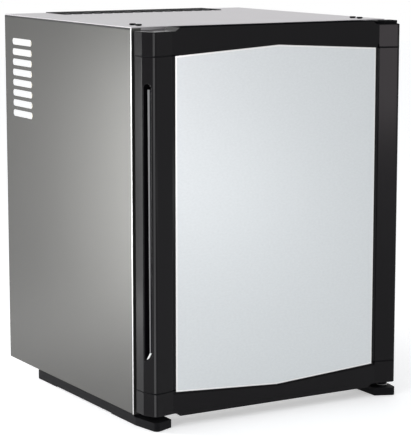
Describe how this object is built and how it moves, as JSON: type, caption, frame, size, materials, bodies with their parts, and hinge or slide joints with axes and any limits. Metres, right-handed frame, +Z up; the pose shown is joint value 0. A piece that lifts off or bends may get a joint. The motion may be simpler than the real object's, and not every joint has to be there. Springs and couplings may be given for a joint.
{
  "type": "minibar fridge",
  "caption": "Small absorption minibar fridge with a silver door panel in a glossy black frame, a side grip, racks, a shelf and a finned cooling unit.",
  "frame": {"origin": "on the floor, under the middle of the overall box", "axes": "+Z up, -Y towards the person at the door, +X towards the hinge side"},
  "size_m": [0.402, 0.441, 0.5303],
  "materials": {
    "side_paint": "satin",
    "lid_paint": "satin",
    "black_gloss": "gloss",
    "black_plastic": "matte",
    "seal_rubber": "matte",
    "silver_sheet": "fine brushed",
    "white_plastic": "satin",
    "clear_plastic": "clear",
    "foam": "matte",
    "zinc_steel": "zinc plated",
    "bright_strip": "bright",
    "bare_aluminium": "bare",
    "black_steel": "satin",
    "shelf_glass": "clear"
  },
  "bodies": {
    "cabinet": {"side_panel_left": "side_paint", "side_panel_right": "side_paint", "top_panel": "lid_paint", "lid_screw_1": "black_steel", "lid_screw_2": "black_steel", "lid_screw_3": "black_steel", "lid_screw_4": "black_steel", "bottom_pan": "zinc_steel", "rear_plate": "zinc_steel", "foam_insulation": "foam", "front_frame": "black_plastic", "inner_liner": "white_plastic", "foot_rail_left": "black_plastic", "foot_rail_right": "black_plastic", "foot_screw_1": "zinc_steel", "foot_screw_2": "zinc_steel", "foot_screw_3": "zinc_steel", "foot_screw_4": "zinc_steel", "top_hinge_bracket": "black_steel", "top_hinge_pin": "zinc_steel", "bottom_hinge_pin": "zinc_steel", "bottom_hinge_washer": "zinc_steel", "shelf_glass": "shelf_glass", "shelf_trim": "white_plastic", "lamp_housing": "white_plastic", "lamp_lens": "clear_plastic", "evaporator_tube": "bare_aluminium", "evaporator_fins": "bare_aluminium", "boiler_jacket": "zinc_steel", "boiler_tube": "black_steel", "heater_cartridge": "zinc_steel", "condenser_tube": "black_steel", "condenser_fins": "black_steel", "absorber_coil": "black_steel", "absorber_vessel": "black_steel", "lower_boiler_strap": "zinc_steel", "upper_boiler_strap": "zinc_steel", "vessel_saddle": "zinc_steel", "rear_brace": "zinc_steel", "control_box": "black_plastic", "mains_inlet": "black_plastic"},
    "door": {"door_top_rail": "black_gloss", "door_bottom_rail": "black_gloss", "handle_post": "black_gloss", "handle_trim": "bright_strip", "hinge_post": "black_gloss", "front_panel": "silver_sheet", "door_foam": "foam", "door_liner": "white_plastic", "door_seal": "seal_rubber", "upper_door_rack": "clear_plastic", "lower_door_rack": "clear_plastic", "bottom_hole_plug": "black_plastic", "top_hole_plug": "black_plastic", "top_hinge_bush": "white_plastic", "bottom_hinge_bush": "white_plastic"},
    "dial": {"temperature_dial": "white_plastic"},
    "stop": {"bottle_stop": "white_plastic"}
  },
  "joints": [
    {"name": "door_hinge", "type": "hinge", "parent": "cabinet", "child": "door", "pos_m": [0.187, -0.1975, 0.27], "axis": [0, 0, 1], "range_deg": [0, 120]},
    {"name": "dial_turn", "type": "hinge", "parent": "cabinet", "child": "dial", "pos_m": [0.036, -0.1025, 0.48], "axis": [0, 1, 0], "range_deg": [0, 270]},
    {"name": "stop_slide", "type": "slide", "parent": "door", "child": "stop", "axis": [1, 0, 0], "range_m": [-0.13, 0.13]}
  ]
}
